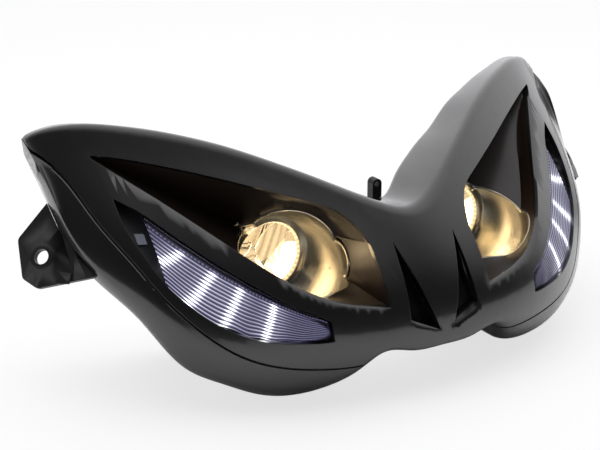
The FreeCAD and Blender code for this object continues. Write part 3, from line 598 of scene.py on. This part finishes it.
@dataclass
class SpotLamp:
    """A halogen lamp in its chromed cup, from the front glass to the rubber boot."""

    side: Side
    rim_radius: float = 0.02535
    rim_depth: float = 0.004
    bowl_radius: float = 0.0218
    bowl_end: float = 0.030
    neck_radius: float = 0.0085
    wall: float = 0.0014
    bore_radius: float = 0.00465
    lip_width: float = 0.0012
    lip_depth: float = 0.0019
    bowl_rows: int = 40
    flutes: int = 44
    flute_depth: float = 0.00045
    segments: int = 264
    glow_ahead: float = 0.001
    glow_power: float = 0.022
    glow_color: Color = (1.0, 0.56, 0.30)
    plane: Vector = field(init=False)

    def __post_init__(self) -> None:
        """Find the middle of the lamp's face in the frame."""
        low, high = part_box(self.side.node("halogen_reflector"))
        self.plane = Vector(((low.x + high.x) / 2, low.y, (low.z + high.z) / 2))

    def build(self) -> None:
        """Build and dress the lamp."""
        resurface(self.side.node("lamp_cup"), CHROME, Shading.ROUND)
        resurface(self.side.node("halogen_glass"), GLASS, Shading.MOULDED)
        resurface(self.side.node("halogen_capsule"), QUARTZ, Shading.MOULDED)
        resurface(self.side.node("lamp_retainer"), STEEL, Shading.MOULDED)
        resurface(self.side.node("lamp_holder"), CERAMIC, Shading.MOULDED)
        resurface(self.side.node("rear_boot"), RUBBER, Shading.MOULDED)
        resurface(self.side.node("lamp_pocket"), POCKET_PAINTED_GLOW, Shading.CRISP)
        self.reflector()
        self.glow()

    def reflector(self) -> None:
        """Fluted reflector.

        The inside is a quarter ellipse from the rim to the neck, whose radius is lessened by flutes:
        half rounds side by side, deepest at half the depth of the bowl. The outside is a plain
        quarter ellipse, one wall away.
        """
        turn = np.linspace(0.0, math.pi / 2, self.bowl_rows)
        depth = self.bowl_end - self.rim_depth
        inner = np.stack(
            [
                self.bore_radius + (self.bowl_radius - self.bore_radius) * np.cos(turn),
                self.rim_depth + (depth - self.wall) * np.sin(turn),
            ],
            1,
        )
        outer = np.stack(
            [
                self.neck_radius + (self.bowl_radius + self.wall - self.neck_radius) * np.cos(turn[::-1]),
                self.rim_depth + depth * np.sin(turn[::-1]),
            ],
            1,
        )
        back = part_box(self.side.node("halogen_reflector"))[1].y - self.plane.y
        neck = np.array([[self.bore_radius, back], [self.neck_radius, back]])
        lip = np.array(
            [
                [self.rim_radius, self.rim_depth],
                [self.rim_radius, 0.0],
                [self.rim_radius - self.lip_width, 0.0],
                [self.rim_radius - self.lip_width, self.lip_depth],
                [self.bowl_radius, self.lip_depth],
            ]
        )
        profile = np.vstack([inner, neck, outer, lip])
        angle = np.linspace(0.0, 2 * math.pi, self.segments, endpoint=False)
        ridge = np.abs(np.sin(angle * self.flutes / 2))
        swell = np.zeros((len(profile), self.segments))
        swell[: len(inner)] = -self.flute_depth * np.outer(np.sin(2 * turn), ridge)
        points = lathe(profile, self.plane, self.segments, swell)
        quads = closed_grid(len(profile), self.segments, True, True)
        mesh = mesh_from(self.side.node("fluted_reflector"), points.reshape(-1, 3), quads)
        offset = mesh_points(mesh) - np.array(self.plane)
        paint(mesh, "from_axis", np.hypot(offset[:, 0], offset[:, 2]))
        turned = np.arctan2(offset[:, 2], offset[:, 0])
        paint(mesh, "flute", 1 - np.abs(np.sin(turned * self.flutes / 2)))
        place(mesh.name, mesh, MIRROR, Shading.ROUND, self.side.node("halogen_reflector"))

    def glow(self) -> None:
        """Warm light that leaves the lamp's face and falls on its cup and pocket."""
        lamp = bpy.data.lights.new(self.side.node("lamp_glow"), "AREA")
        lamp.shape = "DISK"
        lamp.size = 2 * self.bowl_radius
        lamp.energy = self.glow_power
        lamp.color = self.glow_color
        holder = bpy.data.objects.new(lamp.name, lamp)
        ahead = Matrix.Translation(self.plane - Vector((0, self.glow_ahead, 0)))
        holder.matrix_world = ahead @ Matrix.Rotation(-math.pi / 2, 4, "X")
        holder.visible_camera = False
        holder.visible_glossy = False
        bpy.context.scene.collection.objects.link(holder)


@dataclass
class LightStrip:
    """A curved strip of diodes behind a clear ribbed lens, in a tray of its own."""

    side: Side
    rib_height: float = 0.001
    bow: float = 0.003
    thickness: float = 0.0025
    rows: int = 260
    columns: int = 224
    back_columns: int = 24
    skew_start: float = 0.085
    skew: float = 0.33
    bars: tuple[float, ...] = (0.1173, 0.1377, 0.1536, 0.1714)
    bar_reach: float = 0.0017
    round_end: float = 0.097
    border: float = 0.82
    border_blur: float = 0.012
    bead: float = 0.0021
    bead_offset: float = 0.015
    bead_reach: float = 0.022
    bead_light: float = 0.9
    near_reach: float = 4.5
    end_blur: float = 0.03
    dim_share: float = 0.35

    def build(self) -> None:
        """Dress the strip."""
        resurface(self.side.node("strip_tray"), SATIN, Shading.MOULDED)
        resurface(self.side.node("strip_board"), BOARD, Shading.MOULDED)
        resurface(self.side.node("strip_diodes"), DIODE, Shading.MOULDED)
        self.lens()

    def edges(self) -> tuple[np.ndarray, np.ndarray, np.ndarray]:
        """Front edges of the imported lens.

        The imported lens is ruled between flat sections, and only a whole section has a row of points.

        Returns:
            The distance of each section from the middle, rising, and the (depth, height) of its lower
            and of its upper front corner.
        """
        points = mesh_points(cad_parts[self.side.node("strip_lens")].data)
        spans = np.round(np.abs(points[:, 0]), 5)
        found, counts = np.unique(spans, return_counts=True)
        found = found[counts >= 2 * RIBS]
        low, high = [], []
        height_first = 1000
        for span in found:
            section = points[spans == span][:, 1:]
            low.append(section[np.argmin(section[:, 1] * height_first + section[:, 0])])
            high.append(section[np.argmax(section[:, 1] * height_first - section[:, 0])])
        return found, np.array(low), np.array(high)

    def lens(self) -> None:
        """Ribbed lens with rounded ribs, which follow the strip from end to end.

        The front lies a bow and a rib before the line between the window's edges: it is a sheet
        over (span, share), where share runs from the lower to the upper edge.
        """
        sections, low, high = self.edges()
        span = np.linspace(sections[0], sections[-1], self.rows)[:, None]
        front = np.linspace(0.0, 1.0, self.columns + 1)
        share = np.concatenate([front, np.linspace(1.0, 0.0, self.back_columns)])[None, :]
        behind = np.concatenate([np.zeros(len(front)), np.full(self.back_columns, self.thickness)])
        lift = self.rib_height * np.sin(math.pi * RIBS * share) ** 2
        lift[0, len(front) :] = 0.0
        low_y, low_z = (curve_through(sections, low[:, i], span) for i in (0, 1))
        high_y, high_z = (curve_through(sections, high[:, i], span) for i in (0, 1))
        depth = low_y + (high_y - low_y) * share - self.bow * 4 * share * (1 - share) - lift + behind
        height = low_z + (high_z - low_z) * share
        points = np.stack([np.broadcast_to(self.side.value * span, depth.shape), depth, height], 2)
        ends = [np.repeat(points[i : i + 1].mean(1, keepdims=True), points.shape[1], 1) for i in (0, -1)]
        points = np.concatenate([ends[0], points, ends[1]])
        quads = closed_grid(points.shape[0], points.shape[1], False, True)
        mesh = mesh_from(self.side.node("ribbed_lens"), points.reshape(-1, 3), quads)
        self.light(mesh, sections, low, high)
        place(mesh.name, mesh, LENS, Shading.ROUND, self.side.node("strip_lens"))

    def light(self, mesh: bpy.types.Mesh, sections: np.ndarray, low: np.ndarray, high: np.ndarray) -> None:
        """Tell the lens's material how much painted light comes through at each point.

        The bars of painted light stand square to the strip, so they lean over the spans: along is the span
        at the lower edge of the bar that a point lies on. The inner end of the light is rounded, and
        a row of painted bright beads runs along its upper border.
        """
        points = mesh_points(mesh)
        span = np.abs(points[:, 0])
        low_z = curve_through(sections, low[:, 1], span)
        high_z = curve_through(sections, high[:, 1], span)
        across = np.clip((points[:, 2] - low_z) / (high_z - low_z), 0.0, 1.0)
        along = self.skew_start + (span - self.skew_start) / (1 - self.skew * across)
        bars = sum(hump(along, bar, self.bar_reach) for bar in self.bars)
        inside = 1 / (1 + np.exp((across - self.border) / self.border_blur))
        pulse = 0.5 + 0.5 * np.sin(2 * math.pi * along / self.bead)
        beads = hump(across, self.border + self.bead_offset, self.bead_reach) * pulse
        near = sum(hump(along, bar, self.near_reach * self.bar_reach) for bar in self.bars)
        off_end = np.clip((self.round_end - span) / (self.round_end - sections[0]), 0.0, 1.0)
        off_middle = (across - self.border / 2) / (self.border / 2)
        past_end = np.hypot(off_end, off_middle) - 1.0
        inside = inside / (1 + np.exp(past_end / self.end_blur) * (off_end > 0))
        spread = self.dim_share + (1 - self.dim_share) * np.clip(near, 0.0, 1.0)
        lit = inside * spread + self.bead_light * beads
        paint(mesh, "across", across)
        paint(mesh, "lit", lit)
        paint(mesh, "bars", bars * inside)


@dataclass
class MountingEar:
    """The bracket at a wing's tip."""

    side: Side

    def build(self) -> None:
        """Dress the ear."""
        resurface(self.side.node("mounting_ear"), SATIN, Shading.MOULDED)


# Studio


@dataclass(frozen=True)
class Softbox:
    """A rectangular soft light that no surface mirrors.

    Attributes:
        name: name of the light.
        at: where it hangs.
        aim: the point that it faces.
        size: its width and height.
        power: its power in watts.
    """

    name: str
    at: Point
    aim: Point
    size: tuple[float, float]
    power: float

    def build(self) -> None:
        """Hang the light."""
        lamp = bpy.data.lights.new(self.name, "AREA")
        lamp.shape = "RECTANGLE"
        lamp.size, lamp.size_y = self.size
        lamp.energy = self.power
        holder = bpy.data.objects.new(self.name, lamp)
        holder.location = self.at
        holder.rotation_euler = (Vector(self.aim) - Vector(self.at)).to_track_quat("-Z", "Y").to_euler()
        holder.visible_glossy = False
        bpy.context.scene.collection.objects.link(holder)


@dataclass
class Studio:
    """Floor, backdrop, lights and camera."""

    eye: Point = (-0.5321, -0.8047, 0.4321)
    aim: Point = (-0.0508, 0.0036, 0.0928)
    focal: float = 90.0
    sensor: float = 36.0
    floor_reach: float = 6.0
    floor_color: Color = (0.86, 0.86, 0.86)
    floor_shine: float = 0.7
    floor_white: float = 0.72
    bright_way: Point = (0.47, 0.62, 0.63)
    dim_room: tuple[float, tuple[float, ...]] = (0.52, (0.035, 0.035, 0.035, 1.0))
    bright_room: tuple[float, tuple[float, ...]] = (0.92, (1.0, 1.0, 1.02, 1.0))
    softboxes: tuple[Softbox, ...] = (
        Softbox("top_box", at=(0.2, 0.3, 1.6), aim=(0.0, 0.0, 0.0), size=(2.2, 2.2), power=26.0),
        Softbox("left_box", at=(-1.4, 0.1, 0.7), aim=(0.0, 0.0, 0.1), size=(0.5, 0.9), power=4.0),
    )

    def build(self) -> None:
        """Set up the whole studio."""
        bpy.context.scene.view_settings.view_transform = "Standard"
        self.camera()
        self.floor()
        self.world()
        for softbox in self.softboxes:
            softbox.build()

    def camera(self) -> None:
        """Camera at the photo's place, level, with its picture centred on the aim."""
        data = bpy.data.cameras.new("camera")
        data.lens = self.focal
        data.sensor_width = self.sensor
        data.clip_start = 0.01
        holder = bpy.data.objects.new("camera", data)
        holder.location = self.eye
        look = Vector(self.aim) - Vector(self.eye)
        holder.rotation_euler = look.to_track_quat("-Z", "Y").to_euler()
        bpy.context.scene.collection.objects.link(holder)
        bpy.context.scene.camera = holder

    def floor(self) -> None:
        """Pale floor: what the camera sees of it is mostly plain white, and the rest lit and shaded."""
        reach = self.floor_reach
        ground = np.array([[-reach, -reach, 0], [reach, -reach, 0], [reach, reach, 0], [-reach, reach, 0]])
        mesh = mesh_from("floor", ground, np.array([[0, 1, 2, 3]]))
        made = bpy.data.materials.new("floor")
        made.use_nodes = True
        tree = Tree(made.node_tree)
        lit = tree.add("BsdfPrincipled")
        lit.inputs["Base Color"].default_value = (*self.floor_color, 1.0)
        lit.inputs["Roughness"].default_value = self.floor_shine
        white = tree.add("Emission")
        path = tree.add("LightPath")
        part = tree.math("MULTIPLY", path.outputs["Is Camera Ray"], self.floor_white)
        blend = tree.add("MixShader")
        tree.join(part, blend.inputs["Fac"])
        tree.join(lit.outputs["BSDF"], blend.inputs[1])
        tree.join(white.outputs["Emission"], blend.inputs[2])
        output = tree.add("OutputMaterial")
        tree.join(blend.outputs["Shader"], output.inputs["Surface"])
        mesh.materials.append(made)
        holder = bpy.data.objects.new("floor", mesh)
        bpy.context.scene.collection.objects.link(holder)

    def world(self) -> None:
        """White behind the part, and a room that is bright above and behind it and dim in front."""
        world = bpy.data.worlds.new("studio")
        bpy.context.scene.world = world
        world.use_nodes = True
        tree = Tree(world.node_tree)
        way = tree.add("TexCoord")
        turn = tree.add("VectorMath", operation="DOT_PRODUCT")
        tree.join(way.outputs["Generated"], turn.inputs[0])
        turn.inputs[1].default_value = self.bright_way
        ramp = tree.add("ValToRGB")
        middle = tree.math("MULTIPLY_ADD", turn.outputs["Value"], ROOM_MIDDLE, ROOM_MIDDLE)
        tree.join(middle, ramp.inputs["Fac"])
        low, high = ramp.color_ramp.elements
        low.position, low.color = self.dim_room
        high.position, high.color = self.bright_room
        ramp.color_ramp.interpolation = "EASE"
        room = tree.add("Background")
        tree.join(ramp.outputs["Color"], room.inputs["Color"])
        white = tree.add("Background")
        path = tree.add("LightPath")
        blend = tree.add("MixShader")
        tree.join(path.outputs["Is Camera Ray"], blend.inputs["Fac"])
        tree.join(room.outputs["Background"], blend.inputs[1])
        tree.join(white.outputs["Background"], blend.inputs[2])
        output = tree.add("OutputWorld")
        tree.join(blend.outputs["Shader"], output.inputs["Surface"])


def main() -> None:
    """Build the headlight and its studio."""
    logging.basicConfig(level=logging.INFO, format="%(name)s %(message)s")
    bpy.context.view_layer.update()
    Studio().build()
    Shell().build()
    for side in Side:
        SpotLamp(side).build()
        LightStrip(side).build()
        MountingEar(side).build()


if __name__ == "__main__":
    main()
